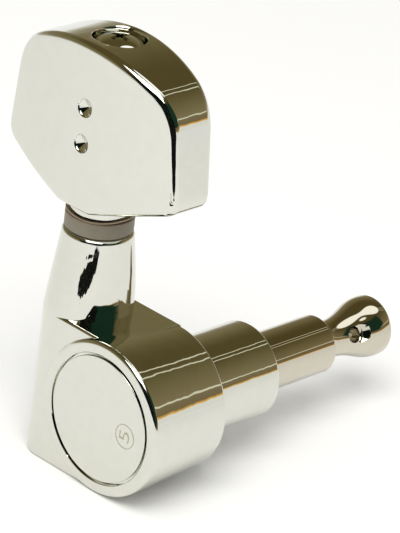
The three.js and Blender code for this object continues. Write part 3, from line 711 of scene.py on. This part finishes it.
def moulded_nylon(name):
    """Warm grey nylon with a browner breath at its upper edge and a fine moulded grain."""
    material, tree = material_tree(name)
    place = tree.place()
    washer_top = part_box("arm_washer")[1][2]
    edge = tree.split(place)[2].step(washer_top - NYLON_EDGE_FROM, washer_top - NYLON_EDGE_TO)
    cloud = tree.noise(place, NYLON_CLOUD, 3.0)
    body = tree.mix(cloud, rgb(*NYLON_DARK), rgb(*NYLON_LIGHT))
    color = tree.mix(edge, body, rgb(*NYLON_EDGE))
    grain = tree.noise(place, NYLON_GRAIN)
    normal = tree.bump(grain, NYLON_GRAIN_DEPTH, 0.3)
    return finish(material, tree, color, NYLON_ROUGHNESS + cloud * 0.15, 0.0, normal)


def etched_line(name):
    """The etched mark: satin, a little darker and yellower than the plate."""
    material, tree = material_tree(name)
    grain = tree.noise(tree.place(), ETCHED_GRAIN)
    color = tree.mix(grain, rgb(*ETCHED_DARK), rgb(*ETCHED_LIGHT))
    normal = tree.bump(grain, ETCHED_GRAIN_DEPTH, 0.5)
    return finish(material, tree, color, ETCHED_ROUGHNESS + grain * 0.12, 1.0, normal)


# Housing


def case_body():
    rim = quarter(CASE_BACK_RADIUS, CASE_BACK, RIM_ROUND, -1)
    front_radius = CASE_BACK_RADIUS - CASE_SIDE_DRAFT
    stations = [*reversed(rim), *quarter(front_radius, 0, CASE_FRONT_EDGE, 1, CASE_FRONT_STEPS)]
    return along_post(turned("housing_shell", stations))


def collar_body():
    stations = [
        (COLLAR_RADIUS, CHAMBER_FLOOR / 2),
        *quarter(COLLAR_RADIUS, COLLAR_END, COLLAR_EDGE, 1, EDGE_STEPS),
    ]
    return along_post(turned("collar_body", stations))


def block_outline(left, back):
    """Flat towards the headstock, round about the worm shaft, straight along the back."""
    steps = FINE // 2
    outline = [(0, 0)]
    for i in range(steps + 1):
        turn = pi / 2 + pi * i / steps
        deep = -WORM_Y if turn < pi else WORM_Y - back
        outline.append((WORM_X + (WORM_X - left) * cos(turn), WORM_Y + deep * sin(turn)))
    outline.append((0, back))
    return outline


def block_body():
    """Narrower across and deeper at the foot than at the top, with rounded edges."""
    foot_outline = block_outline(BLOCK_LEFT + BLOCK_DRAFT, CASE_BACK + BLOCK_STAND_FOOT)
    top_outline = block_outline(BLOCK_LEFT, CASE_BACK + BLOCK_STAND_TOP)
    foot = traced("block_body", foot_outline, CASE_FOOT)
    top = traced("block_top", top_outline, FACET_HEIGHT)
    only(foot)
    top.select_set(True)
    bpy.ops.object.join()
    edit(foot)
    bpy.ops.mesh.bridge_edge_loops()
    face_outwards()
    bevel_level(foot, FACET_HEIGHT, BLOCK_EDGE, EDGE_STEPS)
    bevel_level(foot, CASE_FOOT, BLOCK_EDGE, EDGE_STEPS)
    return foot


def arm_body():
    """Oval where it leaves the block and round at its end; it stays behind the headstock face."""
    rise = ARM_TOP - ARM_END_ROUND - FACET_HEIGHT
    narrow = ARM_BASE_ACROSS - ARM_SHOULDER_RADIUS
    shallow = ARM_BASE_DEEP - ARM_SHOULDER_RADIUS
    wall = [
        (ARM_BASE_ACROSS - narrow * taper, ARM_BASE_DEEP - shallow * taper, FACET_HEIGHT + rise * up)
        for up, taper in zip(ARM_HEIGHT_SHARES, ARM_TAPER_SHARES)
    ]
    seat = FACET_HEIGHT - BLOCK_EDGE
    end = quarter(ARM_SHOULDER_RADIUS, ARM_TOP, ARM_END_ROUND, 1)
    stations = [
        (ARM_BASE_ACROSS - BLOCK_EDGE, ARM_BASE_DEEP - BLOCK_EDGE, 0),
        (ARM_BASE_ACROSS - BLOCK_EDGE, ARM_BASE_DEEP - BLOCK_EDGE, seat - BLOCK_EDGE),
        (ARM_BASE_ACROSS, ARM_BASE_DEEP, seat),
        *wall,
        *[(radius, radius, height) for radius, height in end],
    ]
    piece = risen("arm_body", stations)
    for across, deep, height in stations:
        if deep > -WORM_Y:
            edit_where(piece, lambda place: place.y > HAIR and abs(place.z - height) < HAIR)
            bpy.ops.transform.resize(value=(1, -WORM_Y / deep, 1), center_override=(0, 0, height))
            leave_edit()
    return on_worm_axis(piece)


def box_between(name, low, high):
    middle = [(a + b) / 2 for a, b in zip(low, high)]
    piece = added(name, bpy.ops.mesh.primitive_cube_add, size=1, location=middle)
    piece.scale = [b - a for a, b in zip(low, high)]
    return settled(piece)


def housing_shell(chrome):
    """Case, collar, block and arm as one, hollowed and bored."""
    shell = case_body()
    for part in (collar_body(), block_body(), arm_body()):
        combine(shell, part, "UNION")
    opening = [
        (OPENING_RADIUS + OPENING_EDGE + OVERCUT, CASE_BACK - OVERCUT),
        (OPENING_RADIUS, CASE_BACK + OPENING_EDGE),
        (OPENING_RADIUS, CASE_BACK + OPENING_DEPTH),
        (CHAMBER_RADIUS, CASE_BACK + OPENING_DEPTH),
        (CHAMBER_RADIUS, CHAMBER_FLOOR),
    ]
    bored(shell, "opening", opening, along_post)
    bore = [
        (COLLAR_BORE, CHAMBER_FLOOR - OVERCUT),
        (COLLAR_BORE, COLLAR_END - COLLAR_EDGE),
        (COLLAR_BORE + (COLLAR_EDGE + OVERCUT) / 2, COLLAR_END + OVERCUT),
    ]
    bored(shell, "bore", bore, along_post)
    arm_bore = [(WORM_BORE, WORM_BORE_FLOOR), (WORM_BORE, ARM_TOP + OVERCUT)]
    bored(shell, "arm_bore", arm_bore, on_worm_axis)
    for node in ("locating_pin_upper", "locating_pin_lower"):
        low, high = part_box(node)
        radius = (high[0] - low[0]) / 2
        seat = turned("pin_seat", [(radius, low[1]), (radius, OVERCUT)], SMALL)
        seat.location = ((low[0] + high[0]) / 2, 0, (low[2] + high[2]) / 2)
        combine(shell, along_post(seat), "DIFFERENCE")
    smoothed(shell)
    fitted(shell, "housing", chrome)


# Cover


def cover_disc(chrome, etched):
    """The cover in its recess, with a groove round it and a numbered mark."""
    groove = CASE_BACK + COVER_GROOVE_DEPTH
    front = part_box("cover_plate")[1][1]
    stations = [
        *reversed(quarter(COVER_FACE_RADIUS, CASE_BACK, COVER_EDGE, -1, EDGE_STEPS)),
        (COVER_FACE_RADIUS, groove),
        (COVER_RADIUS, groove),
        (COVER_RADIUS, front),
    ]
    disc = smoothed(along_post(turned("cover_disc", stations)))
    fitted(disc, "cover_plate", chrome)
    for mark in (string_number(), number_ring()):
        coated(mark, etched)
        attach(mark, "case")


def laid_on_cover(mark, turn):
    """Lays a flat mark, drawn in X and Y, on the outer face of the cover and sinks it in a little."""
    x, z = MARK_PLACE
    mark.rotation_euler = (pi / 2, 0, 0)
    mark.location = (x, CASE_BACK - MARK_HEIGHT / 2, z)
    mark.rotation_euler.rotate_axis("Z", turn)
    return settled(mark)


def string_number():
    """The string's plain number."""
    text = added("string_number", bpy.ops.object.text_add)
    text.data.body = MARK_NUMBER
    text.data.size = MARK_SIZE
    text.data.align_x = "CENTER"
    text.data.align_y = "CENTER"
    text.data.extrude = MARK_HEIGHT
    text.data.offset = -MARK_LINE / 3
    text.scale = (MARK_WIDTH, 1, 1)
    bpy.ops.object.convert(target="MESH")
    return laid_on_cover(settled(bpy.context.object), radians(MARK_TURN))


def number_ring():
    ring = turned("number_ring", [(MARK_RADIUS, -MARK_HEIGHT), (MARK_RADIUS, MARK_HEIGHT)], SMALL)
    inner = MARK_RADIUS - MARK_LINE
    combine(ring, turned("ring_hole", [(inner, -OVERCUT), (inner, OVERCUT)], SMALL), "DIFFERENCE")
    return laid_on_cover(ring, 0)


# Post


def flare_station(share):
    """A point of the curve from the waist to the head."""
    start = SHOULDER_PLACE + WAIST_LENGTH
    end = start + FLARE_LENGTH
    radii = (WAIST_RADIUS, WAIST_RADIUS, POST_HEAD_RADIUS, POST_HEAD_RADIUS)
    places = (start, start + FLARE_LENGTH / 2, end - FLARE_LENGTH / 3, end)
    rest = 1 - share
    weights = (rest**3, 3 * rest**2 * share, 3 * rest * share**2, share**3)
    return (
        sum(weight * radius for weight, radius in zip(weights, radii)),
        sum(weight * place for weight, place in zip(weights, places)),
    )


def polished_post(nickel):
    """Waisted and flared, with the string hole, the flats for the wheel and the tapped end."""
    end = SHOULDER_PLACE + WAIST_LENGTH + FLARE_LENGTH + HEAD_BAND + HEAD_EDGE
    neck = (POST_RADIUS - WAIST_RADIUS) / 3
    drive_low, drive_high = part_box("worm_wheel")
    stations = [
        (POST_RADIUS - SHOULDER_EDGE, drive_high[1]),
        (POST_RADIUS, drive_high[1] + SHOULDER_EDGE),
        *quarter(POST_RADIUS, SHOULDER_PLACE, SHOULDER_EDGE, 1, SHOULDER_STEPS),
        (WAIST_RADIUS + neck, SHOULDER_PLACE + neck / 2),
        (WAIST_RADIUS + neck / 3, SHOULDER_PLACE + neck),
        (WAIST_RADIUS, SHOULDER_PLACE + WAIST_LENGTH / 2),
        *[flare_station(i / FLARE_STEPS) for i in range(FLARE_STEPS + 1)],
        *quarter(POST_HEAD_RADIUS, end, HEAD_EDGE, 1),
    ]
    post = along_post(turned("polished_post", stations))
    combine(post, post_hole(), "DIFFERENCE")
    drive = (drive_high[0] - drive_low[0]) / 2
    stem_stations = [(DRIVE_RADIUS, post_low[1]), (DRIVE_RADIUS, drive_high[1] + SHOULDER_EDGE)]
    stem = along_post(turned("stem", stem_stations))
    for side in (-1, 1):
        near, far = sorted((side * DRIVE_FLAT_HALF, side * drive))
        flat = box_between("flat", (near, post_low[1] - OVERCUT, -drive), (far, drive_high[1], drive))
        combine(stem, flat, "DIFFERENCE")
    combine(post, stem, "UNION")
    tap = [(TAP_RADIUS, post_low[1] - OVERCUT), (TAP_RADIUS, post_low[1] + TAP_DEPTH)]
    bored(post, "tap", tap, along_post, SMALL)
    smoothed(post, POST_SHARP_ANGLE)
    fitted(post, "string_post", nickel)


def post_hole():
    """The string hole's cutter, with a rounded mouth at both ends."""
    half = [
        *mouth(HOLE_RADIUS, HOLE_MOUTH_PLACE, HOLE_RIM, HOLE_STEPS),
        (HOLE_RADIUS + HOLE_RIM + HOLE_CUTTER_FLARE, HOLE_MOUTH_PLACE + HOLE_CUTTER_RISE),
        (HOLE_RADIUS + HOLE_RIM + HOLE_CUTTER_END, POST_HEAD_RADIUS + OVERCUT),
    ]
    other_half = [(radius, -height) for radius, height in reversed(half)]
    cutter = turned("post_hole", other_half + half, SMALL)
    cutter.rotation_euler = (0, pi / 2 - radians(HOLE_TURN), 0)
    cutter.location = (0, HOLE_PLACE, 0)
    return settled(cutter)


# Button


def button_half_outline():
    """The right half of the outline from the crown to the foot, as X and rise."""
    height = button_high[2] - button_low[2] - BUTTON_NECK_HEIGHT
    drop = height - BUTTON_SHOULDER_RISE
    crown_radius = (BUTTON_SHOULDER_HALF**2 + drop**2) / (2 * drop)
    crown_turn = asin(BUTTON_SHOULDER_HALF / crown_radius)
    crown_end = crown_turn - BUTTON_SHOULDER_ROUND / crown_radius

    def crown(turn):
        return Vector((crown_radius * sin(turn), height - crown_radius * (1 - cos(turn))))

    def towards(start, end, distance):
        return start + (end - start).normalized() * distance

    def curved(start, corner, end, steps):
        return [
            start * (1 - t) ** 2 + corner * 2 * t * (1 - t) + end * t**2
            for t in (i / steps for i in range(steps + 1))
        ]

    shoulder = Vector((BUTTON_SHOULDER_HALF, BUTTON_SHOULDER_RISE))
    hip = Vector((BUTTON_HIP_HALF, BUTTON_HIP_RISE))
    foot = Vector((BUTTON_FOOT_HALF, 0))
    below_shoulder = towards(shoulder, hip, BUTTON_SHOULDER_ROUND)
    above_hip = towards(hip, shoulder, BUTTON_HIP_ROUND)
    below_hip = towards(hip, foot, BUTTON_HIP_ROUND)
    return [
        *[crown(crown_end * i / CROWN_STEPS) for i in range(CROWN_STEPS)],
        *curved(crown(crown_end), shoulder, below_shoulder, SHOULDER_ROUND_STEPS),
        *curved(above_hip, hip, below_hip, HIP_ROUND_STEPS),
        foot,
    ]


def curved_face(piece, name, side, bulge):
    """Lets one face of the button fall away evenly towards its sides."""
    group = piece.vertex_groups.new(name=name)
    for vertex in piece.data.vertices:
        if vertex.co.z * side > 0:
            group.add([vertex.index], (vertex.co.x / BUTTON_HIP_HALF) ** 2, "REPLACE")
    only(piece)
    modifier = piece.modifiers.new(name, "DISPLACE")
    modifier.direction = "Z"
    modifier.mid_level = 0
    modifier.strength = -side * bulge
    modifier.vertex_group = name
    bpy.ops.object.modifier_apply(modifier=modifier.name)


def polished_button(chrome):
    """A slab of the outline, crowned on both faces and drilled for the shaft and its screw."""
    right = button_half_outline()
    left = [Vector((-p.x, p.y)) for p in reversed(right[1:])]
    front = WORM_Y - button_low[1]
    back = button_high[1] - WORM_Y
    piece = slab("polished_button", [*left, *right], -back, front)
    bevel_level(piece, front, BUTTON_FRONT_ROUND, BUTTON_FRONT_STEPS)
    bevel_level(piece, -back, BUTTON_BACK_ROUND, BUTTON_BACK_STEPS)
    strips = int(BUTTON_HIP_HALF / BUTTON_FACE_STRIP)
    edit(piece)
    for i in range(-strips, strips + 1):
        bpy.ops.mesh.select_all(action="SELECT")
        bpy.ops.mesh.bisect(plane_co=(i * BUTTON_FACE_STRIP, 0, 0), plane_no=(1, 0, 0))
    leave_edit()
    curved_face(piece, "front", 1, BUTTON_FRONT_BULGE)
    curved_face(piece, "back", -1, BUTTON_BACK_BULGE)
    foot = button_low[2] + BUTTON_NECK_HEIGHT
    piece.rotation_euler = (pi / 2, 0, 0)
    piece.location = (WORM_X, WORM_Y, foot)
    settled(piece)
    neck = [(BUTTON_NECK_RADIUS, button_low[2]), (BUTTON_NECK_RADIUS, foot + BUTTON_NECK_HEIGHT)]
    combine(piece, on_worm_axis(turned("neck", neck)), "UNION")
    floor = button_high[2] - COUNTERBORE_DEPTH
    counterbore = [
        (COUNTERBORE_RADIUS, floor),
        *mouth(COUNTERBORE_RADIUS, button_high[2], COUNTERBORE_EDGE),
        (COUNTERBORE_RADIUS + COUNTERBORE_EDGE, button_high[2] + OVERCUT),
    ]
    bored(piece, "counterbore", counterbore, on_worm_axis)
    shank_hole = [(SHANK_HOLE_RADIUS, button_low[2] - OVERCUT), (SHANK_HOLE_RADIUS, floor + OVERCUT)]
    bored(piece, "shank_hole", shank_hole, on_worm_axis, SMALL)
    shaft_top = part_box("worm_shaft")[1][2] + SOCKET_GAP
    socket = [(SOCKET_RADIUS, button_low[2] - OVERCUT), (SOCKET_RADIUS, shaft_top)]
    bored(piece, "socket", socket, on_worm_axis, SMALL)
    for rise in DIMPLE_RISES:
        combine(piece, button_dimple(foot + rise), "DIFFERENCE")
    smoothed(piece, BUTTON_SHARP_ANGLE)
    fitted(piece, "button", chrome)


def button_dimple(height):
    """The cutter of a dimple from a drill's point, with a soft edge."""
    stations = [
        (DIMPLE_RADIUS / 12, -DIMPLE_DEPTH),
        (DIMPLE_RADIUS, -DIMPLE_EDGE),
        (DIMPLE_RADIUS + DIMPLE_EDGE / 4, -DIMPLE_EDGE / 2),
        (DIMPLE_RADIUS + DIMPLE_EDGE, 0),
        (DIMPLE_RADIUS + DIMPLE_EDGE, OVERCUT),
    ]
    cutter = turned("dimple", stations, SMALL)
    cutter.rotation_euler = (pi / 2, 0, 0)
    cutter.location = (WORM_X + DIMPLE_ASIDE, button_low[1], height)
    return settled(cutter)


def domed_screw(plate):
    """A domed head with a cross recess, high in the counterbore, on a plain shank."""
    foot = screw_high[2] - SCREW_HEAD_HEIGHT
    crown = screw_high[2] + SCREW_HEAD_STAND
    side = crown - SCREW_HEAD_DOME
    turns = [pi / 2 * i / DOME_STEPS for i in range(DOME_STEPS)]
    stations = [
        (SCREW_SHANK_RADIUS, screw_low[2]),
        (SCREW_SHANK_RADIUS, foot),
        (SCREW_HEAD_RADIUS, foot),
        *[(SCREW_HEAD_RADIUS * cos(turn), side + SCREW_HEAD_DOME * sin(turn)) for turn in turns],
    ]
    screw = on_worm_axis(turned("domed_screw", stations, SMALL))
    half_wide = SCREW_CROSS_WIDTH / 2
    half_long = SCREW_CROSS_LENGTH / 2
    floor = crown - SCREW_CROSS_DEPTH
    for reach_x, reach_y in ((half_wide, half_long), (half_long, half_wide)):
        slot = box_between(
            "slot",
            (WORM_X - reach_x, WORM_Y - reach_y, floor),
            (WORM_X + reach_x, WORM_Y + reach_y, crown + OVERCUT),
        )
        combine(screw, slot, "DIFFERENCE")
    smoothed(screw, BUTTON_SHARP_ANGLE)
    fitted(screw, "button_screw", plate)


# Washer on the arm


def smooth_arm_washer(nylon):
    """The plastic ring between the arm and the button."""
    low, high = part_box("arm_washer")
    radius = (high[0] - low[0]) / 2
    stations = [
        (radius - ARM_WASHER_EDGE, low[2]),
        (radius, low[2] + ARM_WASHER_EDGE),
        *quarter(radius, high[2], ARM_WASHER_EDGE, 1, EDGE_STEPS),
    ]
    washer = on_worm_axis(turned("smooth_arm_washer", stations))
    hole = [(ARM_WASHER_BORE, low[2] - OVERCUT), (ARM_WASHER_BORE, high[2] + OVERCUT)]
    bored(washer, "hole", hole, on_worm_axis)
    fitted(smoothed(washer), "arm_washer", nylon)


# Stage, light and camera


def ray_kinds(tree):
    """Whether a ray is the camera's own, and whether polished metal mirrored it."""
    straight, glossy, passed = (
        tree.node("ShaderNodeLightPath", output=f"Is {kind} Ray")
        for kind in ("Camera", "Glossy", "Transmission")
    )
    return straight, (glossy + passed).clamped()


def floor_material():
    """A pale table that fades into the white background away from the object."""
    material, tree = material_tree("pale_table")
    place = tree.place()
    x, y = tree.split(place)[:2]
    cloud = tree.noise(place, TABLE_CLOUD)
    color = tree.mix(cloud, rgb(*TABLE_DARK), rgb(*TABLE_LIGHT))
    straight, mirrored = ray_kinds(tree)
    away = (x * x + y * y).math("SQRT").step(TABLE_NEAR, TABLE_FAR)
    shader = tree.node("ShaderNodeBsdfPrincipled", {}, {
        "Base Color": color, "Roughness": TABLE_ROUGHNESS, "Specular IOR Level": TABLE_SPECULAR,
    })
    white = tree.node("ShaderNodeEmission", {}, {"Color": rgb(*WHITE), "Strength": 1.0})
    faded = away * (straight + mirrored).clamped()
    both = tree.node("ShaderNodeMixShader", {}, {0: faded, 1: shader, 2: white})
    tree.node("ShaderNodeOutputMaterial", {}, {"Surface": both})
    return material


def stage():
    """The table that the machine stands on."""
    plane = {"size": TABLE_SIZE, "location": (0, 0, CASE_FOOT)}
    table = added("table", bpy.ops.mesh.primitive_plane_add, **plane)
    coated(table, floor_material())
    settled(table)


def card_material():
    material, tree = material_tree("dark_card")
    cloud = tree.noise(tree.place(), CARD_CLOUD, 3.0)
    color = tree.mix(cloud, rgb(*CARD_DARK), rgb(*CARD_LIGHT))
    return finish(material, tree, color, CARD_ROUGHNESS, 0.0, extra={"Specular IOR Level": 0.0})


def dark_card(name, place, size, azimuth, ragged, material):
    """A dark oval card that stands near the object and that only polished metal shows."""
    circle = {"vertices": CARD_SIDES, "radius": 1, "fill_type": "NGON"}
    stand = {"location": place, "rotation": (pi / 2, 0, radians(azimuth))}
    card = added(name, bpy.ops.mesh.primitive_circle_add, **circle, **stand)
    card.scale = (size[0] / 2, size[1] / 2, 1)
    edit(settled(card))
    bpy.ops.transform.vertex_random(offset=ragged, seed=CARD_SEED)
    leave_edit()
    coated(card, material)
    card.visible_camera = False
    card.visible_diffuse = False
    card.visible_shadow = False


def room_color(tree):
    """What polished metal sees: the end of the pale table, a warm dark room, lights and dark screens."""
    direction = tree.node("ShaderNodeTexCoord", output="Generated")
    x, y, z = tree.split(direction)
    height = z * cos(ROOM_LEAN) - y * sin(ROOM_LEAN)
    wall = tree.ramp(height * 0.5 + 0.5, WALL_STOPS)
    haze = tree.ramp(z, HAZE_STOPS)
    color = tree.mix(x.step(*HAZE_TO_WALL), haze, wall)
    tube_near, tube_far = (1 - (x - place).math("ABSOLUTE").step(*TUBE_HALF) for place in TUBE_PLACES)
    waver = (tree.noise(direction, LEDGE_WAVES) - 0.5) * LEDGE_WAVER
    ledge = 1 - (height - LEDGE_HEIGHT + waver).math("ABSOLUTE").step(*LEDGE_HALF)
    ledge = ledge * x.step(*LEDGE_RIGHT) * y.step(*LEDGE_BEHIND)
    tubes = (tube_near + tube_far) * y.step(*TUBE_BEHIND) * height.step(*TUBE_ABOVE)
    color = tree.mix((tubes + ledge).clamped(), color, rgb(*LIGHT_COLOR))
    ceiling = 0
    for light_x, light_y, reach in CEILING_LIGHTS:
        beside = ((x - light_x) * (x - light_x) + (y - light_y) * (y - light_y)).math("SQRT")
        ceiling = (1 - beside.step(reach * CEILING_CORE, reach)) + ceiling
    color = tree.mix(ceiling * z.step(*CEILING_ABOVE), color, rgb(*CEILING_COLOR))
    facing = radians(CAMERA_AZIMUTH)
    across = x * cos(facing) + y * sin(facing)
    ahead = x * sin(facing) - y * cos(facing)
    for sides, heights, front, dark in DARK_SCREENS:
        screen = across.between(*sides) * height.between(*heights) * ahead.step(*front)
        color = tree.mix(screen, color, rgb(*dark))
    return color


def room():
    """White for the camera, a soft even light for the surfaces and a room for polished metal."""
    world = bpy.data.worlds.new("room")
    bpy.context.scene.world = world
    tree = Tree(world)
    straight, mirrored = ray_kinds(tree)
    seen = tree.mix(mirrored, rgb(*SOFT_LEVEL), room_color(tree))
    color = tree.mix(straight, seen, rgb(*WHITE))
    background = tree.node("ShaderNodeBackground", {}, {"Color": color, "Strength": 1.0})
    tree.node("ShaderNodeOutputWorld", {}, {"Surface": background})


def softbox():
    """One wide lamp above, aimed at the origin."""
    lamp = bpy.data.lights.new("ceiling_light", "AREA")
    lamp.shape = "RECTANGLE"
    lamp.size, lamp.size_y = LAMP_SIZE
    lamp.energy = LAMP_WATTS
    lamp.color = LAMP_COLOR
    holder = bpy.data.objects.new("ceiling_light", lamp)
    bpy.context.scene.collection.objects.link(holder)
    holder.location = LAMP_PLACE
    holder.rotation_euler = Vector(LAMP_PLACE).to_track_quat("Z", "Y").to_euler()


def camera():
    """Looks as in the photograph, from the fitted azimuth, elevation, roll and distance."""
    azimuth = radians(CAMERA_AZIMUTH)
    elevation = radians(CAMERA_ELEVATION)
    roll = radians(CAMERA_ROLL)
    back = Vector((
        sin(azimuth) * cos(elevation), -cos(azimuth) * cos(elevation), sin(elevation),
    ))
    level = Vector((cos(azimuth), sin(azimuth), 0))
    upright = back.cross(level)
    right = level * cos(roll) + upright * sin(roll)
    up = back.cross(right)
    data = bpy.data.cameras.new("camera")
    data.lens = CAMERA_LENS
    data.sensor_width = SENSOR_LONG_SIDE
    data.clip_start = CLIP_NEAR
    data.clip_end = CLIP_FAR
    holder = bpy.data.objects.new("camera", data)
    bpy.context.scene.collection.objects.link(holder)
    turn = Matrix((right, up, back)).transposed().to_4x4()
    place = right * VIEW_RIGHT + up * VIEW_UP + back * CAMERA_DISTANCE
    holder.matrix_world = Matrix.Translation(place) @ turn
    bpy.context.scene.camera = holder


# Assembly

camera()
chrome = polished_plate("polished_chrome", CASE_RIPPLE)
screw_plate = polished_plate("screw_chrome", SCREW_RIPPLE)
nickel = polished_plate("post_nickel", POST_RIPPLE, NICKEL_DULL, NICKEL_BRIGHT)
nylon = moulded_nylon("grey_nylon")
etched = etched_line("etched_line")
metals = {name: turned_metal(name, *look) for name, look in TURNED_METALS.items()}

housing_shell(chrome)
cover_disc(chrome, etched)
polished_post(nickel)
polished_button(chrome)
domed_screw(screw_plate)
smooth_arm_washer(nylon)
for node, metal in INNER_PIECES.items():
    coated(frame["nodes"][node], metals[metal])

stage()
card_finish = card_material()
for name, (place, size, azimuth, ragged) in DARK_CARDS.items():
    dark_card(name, place, size, azimuth, ragged, card_finish)
room()
softbox()

bpy.context.scene.view_settings.view_transform = "Standard"
